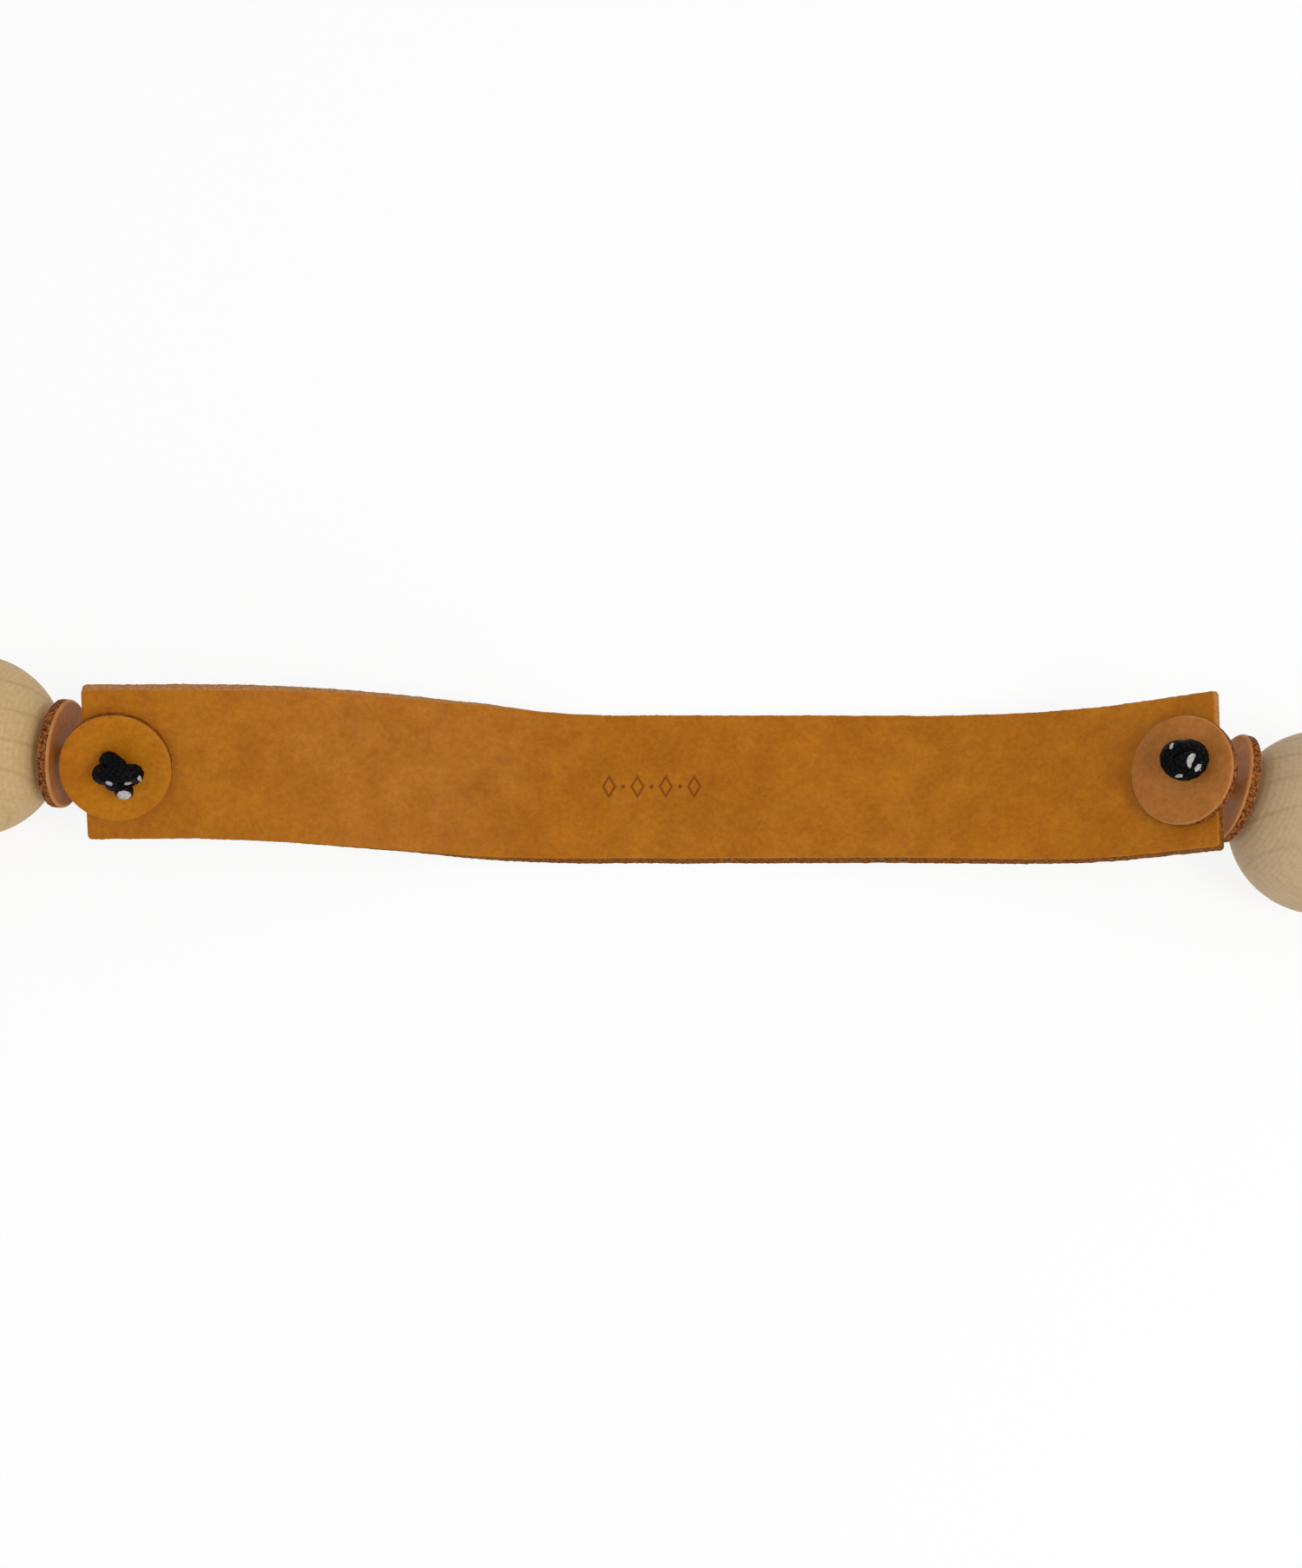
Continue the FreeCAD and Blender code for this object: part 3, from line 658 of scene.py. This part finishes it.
def turned_beech(name, pale, warm, line, shift, placing):
    """Sanded beech: pale ground, thin brown growth lines, short flecks, soft lathe rings.

    Beech fibres and flecks are a tenth of a millimetre wide, drawn near 1 mm to show.
    """
    material, tree = new_material(name)
    place = add(tree, "TexCoord").outputs["Object"]
    place = add(tree, "Mapping", {"Vector": place, "Location": placing.translation,
                                  "Rotation": placing.to_euler()}, vector_type="TEXTURE").outputs[0]
    moved = add(tree, "Mapping", {"Vector": place, "Location": shift}).outputs[0]
    long_fibre = add(tree, "Mapping", {"Vector": moved,
                                       "Scale": (1000 / 1.1, 1000 / 1.1, 1000 / 26)}).outputs[0]
    streak = add(tree, "TexNoise", {"Vector": long_fibre, "Scale": 1.0, "Detail": 5.0,
                                    "Roughness": 0.65}).outputs[0]
    cloud = add(tree, "TexNoise", {"Vector": moved, "Scale": 1000 / 22, "Detail": 2.0}).outputs[0]
    # Growth lines 8 mm apart: bands curved about a pith well outside the ball.
    # A wave's Scale is 314.2 over its pitch in millimetres.
    rings = add(tree, "TexWave", {
        "Vector": moved, "Scale": 314.2 / 8.0, "Distortion": 3.2, "Detail": 2.0, "Detail Scale": 0.5,
        "Detail Roughness": 0.45}, wave_type="RINGS", rings_direction="Z", wave_profile="SIN").outputs[0]
    late = add(tree, "Math", {0: rings, 1: 26.0}, operation="POWER").outputs[0]
    drift = add(tree, "MapRange", {"Value": cloud, "From Min": 0.35, "From Max": 0.6,
                                   "To Min": 0.06, "To Max": 0.3}).outputs[0]
    late = add(tree, "Math", {0: late, 1: drift}, operation="MULTIPLY").outputs[0]
    fleck_place = add(tree, "Mapping", {"Vector": moved,
                                        "Scale": (1000 / 0.8, 1000 / 0.8, 1000 / 2.6)}).outputs[0]
    fleck = add(tree, "TexVoronoi", {"Vector": fleck_place, "Scale": 1.0}).outputs["Distance"]
    fleck = add(tree, "MapRange", {"Value": fleck, "From Min": 0.0, "From Max": 0.22,
                                   "To Min": 0.22, "To Max": 0.0}).outputs[0]
    # Lathe rings 1.2 mm apart round the bore.
    turning = add(tree, "TexWave", {
        "Vector": place, "Scale": 314.2 / 1.2, "Distortion": 0.8, "Detail": 2.0, "Detail Scale": 2.0},
        wave_type="BANDS", bands_direction="Z").outputs[0]
    ground = add(tree, "MapRange", {"Value": streak, "From Min": 0.3, "From Max": 0.7}).outputs[0]
    colour = add(tree, "Mix", {0: ground, 6: linear(pale), 7: linear(warm)}, data_type="RGBA").outputs[2]
    colour = add(tree, "Mix", {0: late, 6: colour, 7: linear(line)}, data_type="RGBA").outputs[2]
    colour = add(tree, "Mix", {0: fleck, 6: colour, 7: linear(line)}, data_type="RGBA").outputs[2]
    tone = add(tree, "MapRange", {"Value": turning, "To Min": 0.97, "To Max": 1.015}).outputs[0]
    colour = add(tree, "VectorMath", {0: colour, 3: tone}, operation="SCALE").outputs[0]
    height = add(tree, "Math", {0: turning, 1: streak}, operation="ADD").outputs[0]
    normal = add(tree, "Bump", {"Height": height, "Strength": 0.25, "Distance": 0.00015}).outputs[0]
    gloss = add(tree, "MapRange", {"Value": streak, "To Min": 0.5, "To Max": 0.68}).outputs[0]
    skin = add(tree, "BsdfPrincipled", {
        "Base Color": colour, "Roughness": gloss, "Normal": normal, "IOR": 1.5, "Specular IOR Level": 0.35})
    add(tree, "OutputMaterial", {"Surface": skin.outputs[0]})
    return material


def make_ball(name, placing, skin):
    """Turned ball about its own Z, with faint turned rings and chamfered bore mouths."""
    segments, rows_outside, rows_in_bore = 224, 150, 12
    mouth_radius = bore_radius + mouth
    mouth_height = math.sqrt(ball_radius ** 2 - mouth_radius ** 2)
    start = math.asin(mouth_radius / ball_radius)
    profile = []
    for polar in np.linspace(start, math.pi - start, rows_outside):
        walked = polar * ball_radius
        depth = 0.03 + 0.02 * ripple(walked, 5, 1, 1.6) + 0.012 * ripple(walked, 9, 4, 0.7)
        profile.append(((ball_radius - depth) * math.sin(polar), (ball_radius - depth) * math.cos(polar)))
    low = mouth_height - mouth
    chamfer = [(bore_radius + 0.75 * mouth, mouth_height - 0.2),
               (bore_radius + 0.3 * mouth, mouth_height - 0.75),
               (bore_radius + 0.06, low + 0.1), (bore_radius, low - 0.4)]
    profile += [(radius, -z) for radius, z in chamfer]
    profile += [(bore_radius, z) for z in np.linspace(-low + 2.5, low - 2.5, rows_in_bore)]
    profile += chamfer[::-1]
    points = []
    for radius, z in profile:
        for k in range(segments):
            angle = 2 * math.pi * k / segments
            points.append((radius * math.cos(angle), radius * math.sin(angle), z))
    ball = mesh_object(name, points, lathe_faces(len(profile), segments), [skin])
    ball.data.transform(placing)
    return ball


# Each ball's tones, and which part of the plank it was cut from, in metres. The right ball's tones are
# darkened as painted shade.
beech = {
    "left": ("turned_beech_warm", "#C8AA79", "#BA9A68", "#8E6C45", (0.012, 0.062, 0.01)),
    "right": ("turned_beech_grey_painted_shade", "#C0A680", "#B09670", "#866943", (-0.02, 0.07, 0.05)),
}
for side in SIDES:
    placing = local_frame(joint_point(f"ball_{side}_spin"), joint_axis(f"ball_{side}_spin"),
                          Vector((0, 0.4, 1)))
    ball = make_ball(f"ball_turned_{side}", placing, turned_beech(*beech[side], placing))
    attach(ball, f"ball_{side}")
    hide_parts(f"ball_{side}")


# ---- the cords and their knots -------------------------------------------
# Black braided polyester cord, 4 mm, one length a side. An overhand knot sits
# on the front disc, the cord turns under the strap, runs through the back disc
# and the ball, and ends in a second knot. The fused tails show the pale core.

cord_radius, knotted_radius = 2.0, 2.6    # the strand bunches up in a knot
carriers, braid_relief = 8, 0.3
cord_step = 0.2
BRAID, CORE = 0, 1


def black_braid():
    """Black polyester braid: fine filament streaks with a soft satin glint.

    A filament is 0.02 mm thick. Its streaks are drawn at 0.5 mm, to show. The paler
    flecks on the strand crowns are painted glints.
    """
    material, tree = new_material("black_polyester_braid_painted_glints")
    place = add(tree, "TexCoord").outputs["Object"]
    lint = add(tree, "TexNoise", {"Vector": place, "Scale": 1000 / 0.5, "Detail": 4.0,
                                  "Roughness": 0.7}).outputs[0]
    glint_crown = add(tree, "Attribute", attribute_name="glint_crown").outputs["Fac"]
    # Painted highlight: the strand crowns are lightened into flecks that stand in for glints.
    crown = add(tree, "Math", {0: glint_crown, 1: lint}, operation="MULTIPLY").outputs[0]
    share = add(tree, "MapRange", {"Value": crown, "From Min": 0.38, "From Max": 0.7}).outputs[0]
    colour = add(tree, "Mix", {0: share, 6: linear("#010101"), 7: linear("#232328")},
                 data_type="RGBA").outputs[2]
    normal = add(tree, "Bump", {"Height": lint, "Strength": 0.35, "Distance": 0.0001}).outputs[0]
    skin = add(tree, "BsdfPrincipled", {
        "Base Color": colour, "Roughness": 0.3, "Normal": normal, "IOR": 1.53,
        "Specular IOR Level": 0.045})
    add(tree, "OutputMaterial", {"Surface": skin.outputs[0]})
    return material


def fused_core(name, tone, dirt, rough):
    """Cut cord core or dried glue: milky pale grey, smeared, half glossy."""
    material, tree = new_material(name)
    place = add(tree, "TexCoord").outputs["Object"]
    smear = add(tree, "TexNoise", {"Vector": place, "Scale": 1000 / 1.2, "Detail": 4.0,
                                   "Roughness": 0.65}).outputs[0]
    share = add(tree, "MapRange", {"Value": smear, "From Min": 0.42, "From Max": 0.7}).outputs[0]
    # As glue, this pale grey is painted reflection. As the cut core, it is the core's own colour.
    colour = add(tree, "Mix", {0: share, 6: linear(tone), 7: linear(dirt)}, data_type="RGBA").outputs[2]
    normal = add(tree, "Bump", {"Height": smear, "Strength": 0.5, "Distance": 0.0003}).outputs[0]
    skin = add(tree, "BsdfPrincipled", {
        "Base Color": colour, "Roughness": rough, "Normal": normal, "IOR": 1.48})
    add(tree, "OutputMaterial", {"Surface": skin.outputs[0]})
    return material


braid = black_braid()
core = fused_core("fused_cord_core", "#B9B5AE", "#6E6A66", 0.35)
# Painted reflection: the glue is clear, and its pale grey stands in for the light it catches in the knot's
# folds.
glue_painted_reflection = fused_core("dried_glue_painted_reflection", "#A9A6A6", "#8A8788", 0.25)


def overhand(origin, wide, thick, axis, width, depth, rise, turn):
    """Centreline of a pulled-down overhand knot, from its standing end to its tail.

    The strand climbs the core, turns out over the top, wraps once round the
    outside going down, and climbs the core again beside itself.
    """
    steps, first_climb, whole_climb = 60, -75, 510
    core_steps, core_reach = 10, 0.36    # the first and last steps stay in the core
    points = []
    for step in range(steps + 1):
        climb = math.radians(first_climb + whole_climb * step / steps)
        swing = 1.5 * climb + turn
        reach = 0.68 - 0.32 * math.cos(climb)
        if step < core_steps or step > steps - core_steps:
            reach = core_reach
        height = rise * math.sin(climb)
        points.append(origin + wide * (width * reach * math.cos(swing))
                      + thick * (depth * reach * math.sin(swing)) + axis * height)
    return points


def smooth_line(points, step):
    """Evenly spaced points on a smooth curve near the given ones, and how far along each is."""
    dense, dense_step, softenings = [], 0.1, 10
    padded = [points[0] * 2 - points[1]] + list(points) + [points[-1] * 2 - points[-2]]
    for a, b, c, d in zip(padded, padded[1:], padded[2:], padded[3:]):
        pieces = max(4, int((c - b).length / dense_step))
        for i in range(pieces):
            t = i / pieces
            dense.append(0.5 * ((2 * b) + (c - a) * t + (2 * a - 5 * b + 4 * c - d) * t * t
                                + (3 * b - a - 3 * c + d) * t ** 3))
    dense.append(points[-1])
    dense = np.array([tuple(p) for p in dense])
    for _ in range(softenings):
        dense[1:-1] = (dense[:-2] + 2 * dense[1:-1] + dense[2:]) / 4
    walked = np.concatenate([[0], np.cumsum(np.linalg.norm(np.diff(dense, axis=0), axis=1))])
    marks = np.linspace(0, walked[-1], max(2, round(walked[-1] / step) + 1))
    return np.stack([np.interp(marks, walked, dense[:, k]) for k in range(3)], 1), marks


def braid_height(around, along):
    """Relief of a diamond braid: pillows that run with the strand on top."""
    one, two = around + along, around - along
    cell_one, cell_two = math.floor(one), math.floor(two)
    u, v = 2 * (one - cell_one) - 1, 2 * (two - cell_two) - 1
    if (cell_one + cell_two) % 2:
        u, v = v, u
    return max(0.0, (1 - u * u)) ** 0.5 * (1 - 0.55 * v * v)


def braided_tube(name, line, marks, radii):
    """Tube along a line with the braid standing proud, closed by fused ends."""
    around, fused_length, fused_shrink, core_share = 48, 1.2, 0.12, 0.7
    pitch = 2 * math.pi * cord_radius / carriers
    tangents = np.gradient(line, axis=0)
    tangents /= np.linalg.norm(tangents, axis=1)[:, None]
    normal = Vector(tangents[0]).orthogonal().normalized()
    points, crowns = [], []
    for i, (centre, tangent) in enumerate(zip(line, tangents)):
        tangent = Vector(tangent)
        normal = (normal - tangent * normal.dot(tangent)).normalized()
        side = tangent.cross(normal)
        for k in range(around):
            angle = 2 * math.pi * k / around
            crown = braid_height(carriers * k / around, marks[i] / pitch)
            braided = min(1.0, marks[i] / fused_length, (marks[-1] - marks[i]) / fused_length)
            reach = radii[i] - braid_relief * (1 - crown) * braided - fused_shrink * (1 - braided)
            points.append(Vector(centre) + normal * (reach * math.cos(angle))
                          + side * (reach * math.sin(angle)))
            crowns.append(crown)
    faces, zones = [], []
    for i in range(len(line) - 1):
        for k in range(around):
            m = (k + 1) % around
            faces.append((i * around + k, i * around + m, (i + 1) * around + m, (i + 1) * around + k))
            zones.append(BRAID)
    # Each end: rings that shrink to a lumpy melted cap, pale inside the braid's own rim.
    for ring, out in ((0, -Vector(tangents[0])), (len(line) - 1, Vector(tangents[-1]))):
        previous = [ring * around + k for k in range(around)]
        centre = Vector(line[ring])
        for shrink, bulge in ((0.8, 0.3), (0.66, 0.4), (0.4, 0.34), (0.15, 0.3)):
            fresh = []
            for k in range(around):
                spoke = points[ring * around + k] - centre
                lump = 0.16 * ripple(spoke.x * shrink, spoke.y * shrink, spoke.z * shrink + ring, 0.9)
                points.append(centre + spoke * shrink + out * (bulge + lump))
                crowns.append(1.0)
                fresh.append(len(points) - 1)
            for k in range(around):
                m = (k + 1) % around
                loop = (previous[k], previous[m], fresh[m], fresh[k])
                faces.append(loop if ring else loop[::-1])
                zones.append(CORE if shrink < core_share else BRAID)
            previous = fresh
        faces.append(tuple(previous if ring else previous[::-1]))
        zones.append(CORE)
    tube = mesh_object(name, points, faces, [braid, core], zones)
    # The crown heights mark where the material paints its glint flecks.
    point_values(tube, "glint_crown", crowns)
    return tube


# Each dab of glue: right and up from the hole, its half sizes, and its turn in degrees.
DABS = {
    "left": ((-0.6, -1.5, 1.3, 0.9, -25), (4.2, -1.5, 1.2, 0.8, 10), (7.1, -0.2, 0.6, 1.3, 10)),
    "right": ((1.5, 4.8, 0.7, 1.2, -20), (7.2, -1.8, 1.5, 0.7, 50), (2.2, -3.2, 1.5, 0.5, 0)),
}


def add_glue(side, cord, seat, grain, right, up):
    """Thin dabs of dried glue draped into the folds of the front knot.

    Each is cast onto the knot from above, can't stand or hang far from its own
    middling height, and gets a crowned face and a hidden one below it.
    """
    cord_shape = bmesh.new()
    cord_shape.from_mesh(cord.data)
    tree = BVHTree.FromBMesh(cord_shape)
    points, faces = [], []
    rings, spokes = 7, 26
    cast_from, stands, hangs, crowned, sunk = 15.0, 0.5, 0.6, 0.16, 0.4
    for number, (x, y, long, short, turn) in enumerate(DABS[side]):
        turn = math.radians(turn)
        heights, places = [], []
        for ring in range(rings + 1):
            for spoke in range(spokes):
                angle = 2 * math.pi * spoke / spokes
                reach = ring / rings * (1 + 0.25 * ripple(math.cos(angle), math.sin(angle), number, 0.8))
                a, b = long * reach * math.cos(angle), short * reach * math.sin(angle)
                place = seat + right * (x + a * math.cos(turn) - b * math.sin(turn)) \
                    + up * (y + a * math.sin(turn) + b * math.cos(turn))
                hit = tree.ray_cast((place + grain * cast_from) * MM, -grain, cast_from * MM)
                heights.append(0.0 if hit[0] is None else max(0.0, (hit[0] / MM - seat).dot(grain)))
                places.append((place, ring / rings))
        level = sorted(heights)[len(heights) // 2]
        heights = [max(min(height, level + stands), level - hangs - 0.5 * edge)
                   for (_, edge), height in zip(places, heights)]
        base = len(points)
        for (place, edge), height in zip(places, heights):
            points.append(place + grain * (height + crowned * (1 - edge ** 2) - 0.1 * edge))
        points += [place + grain * (height - sunk) for (place, _), height in zip(places, heights)]
        sheet_size = len(places)
        for ring in range(rings):
            for spoke in range(spokes):
                m = (spoke + 1) % spokes
                loop = (base + ring * spokes + spoke, base + (ring + 1) * spokes + spoke,
                        base + (ring + 1) * spokes + m, base + ring * spokes + m)
                faces += [loop, tuple(i + sheet_size for i in loop[::-1])]
        edge_start = base + rings * spokes
        for spoke in range(spokes):
            m = (spoke + 1) % spokes
            faces.append((edge_start + spoke, edge_start + spoke + sheet_size,
                          edge_start + m + sheet_size, edge_start + m))
    cord_shape.free()
    # The dabs' pale grey is painted reflection.
    dabs = mesh_object(f"glue_dabs_{side}", points, faces, [glue_painted_reflection])
    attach(dabs, f"end_{side}")


knot_tilt = {"left": math.radians(-26), "right": math.radians(-22)}
corner = 1.7                       # inner radius of the bend under the strap
knot_reach, knot_fade = 4.8, 2.0   # the strand is bunched this near a knot's middle, then thins
far_stand = 3.85                   # from the ball to the end knot's middle


def cord_and_knots(side):
    """One side's whole cord: front knot, drop, bend, run and end knot.

    The left knot's core lies on the disc and points down it, the right one's
    stands up from it. Places are millimetres along the disc's own directions.
    """
    hole, grain = joint_point(f"knot_{side}_swivel"), joint_axis(f"knot_{side}_swivel")
    pivot, aim = joint_point(f"cord_{side}_swing"), joint_axis(f"ball_{side}_spin")
    seat = hole + grain * (disc_thick + 2 * front_gap)
    up_table = Vector((0, 1, 0))
    up_disc = (up_table - grain * up_table.dot(grain)).normalized()
    right_disc = up_disc.cross(grain)
    tilt = knot_tilt[side]
    if side == "left":
        axis = (-up_disc * math.cos(tilt) - right_disc * math.sin(tilt)).normalized()
        wide = grain.cross(axis)
        middle = seat + grain * 4.4 - up_disc * 0.4 + right_disc * 1.1
        knot = overhand(middle, wide, grain, axis, 4.7, 2.0, 2.2, math.radians(150))
        tail = [knot[-1] - up_disc * 1.2 + right_disc * 0.5 + grain * 0.2,
                knot[-1] - up_disc * 2.0 + right_disc * 0.8 + grain * 0.8,
                knot[-1] - up_disc * 2.6 + right_disc * 0.9 + grain * 1.6]
        lead = [seat - grain * 3, seat - grain * 0.6, seat + grain * 0.8 - axis * 1.2,
                seat + grain * 2.2 - axis * 3.2, middle - axis * 4.0 - grain * 0.9]
    else:
        wide = (right_disc * math.cos(tilt) + up_disc * math.sin(tilt)).normalized()
        axis = grain
        middle = seat + grain * 4.0 + right_disc * 2.9 + up_disc * 2.2
        knot = overhand(middle, wide, axis.cross(wide), axis, 4.5, 3.9, 1.4, math.radians(38))
        tail = [knot[-1] + axis * 0.5 + wide * 1.1, knot[-1] + axis * 0.8 + wide * 2.2]
        lead = [seat - grain * 3, seat - grain * 0.8, seat + grain * 0.4]
    front = list(reversed(lead + knot + tail))
    drop = [pivot + grain * 4.0, pivot + grain * (corner + 0.4)]
    bend = [pivot + (grain + aim) * corner * 0.45]
    ball_centre = joint_point(f"ball_{side}_spin")
    reach = (ball_centre - pivot).length
    run = [pivot + aim * (corner + 0.4)]
    run += [pivot + aim * d for d in np.linspace(5, reach + ball_radius - 1.5, 12)]
    far = ball_centre + aim * (ball_radius + far_stand)
    far_wide = Vector((0, 0, 1)).cross(aim).normalized()
    far_knot = overhand(far, far_wide, aim.cross(far_wide), aim, 3.5, 3.0, 1.5,
                        math.radians(40 * SIDES[side]))
    far_tail = [far_knot[-1] + aim * 0.8, far_knot[-1] + aim * 1.4]
    line, marks = smooth_line(front + drop + bend + run + far_knot + far_tail, cord_step)
    radii = np.full(len(line), cord_radius)
    for knot_middle in (middle, far):
        away = np.linalg.norm(line - np.array(knot_middle), axis=1)
        radii = np.maximum(radii, knotted_radius + (cord_radius - knotted_radius)
                           * ease((away - knot_reach) / knot_fade))
    cord = braided_tube(f"cord_braided_{side}", line, marks, radii)
    add_glue(side, cord, seat, grain, right_disc, up_disc)
    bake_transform(cord)
    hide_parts(f"knot_{side}", f"cord_stem_{side}", f"cord_run_{side}", f"end_knot_{side}")


for side in SIDES:
    cord_and_knots(side)
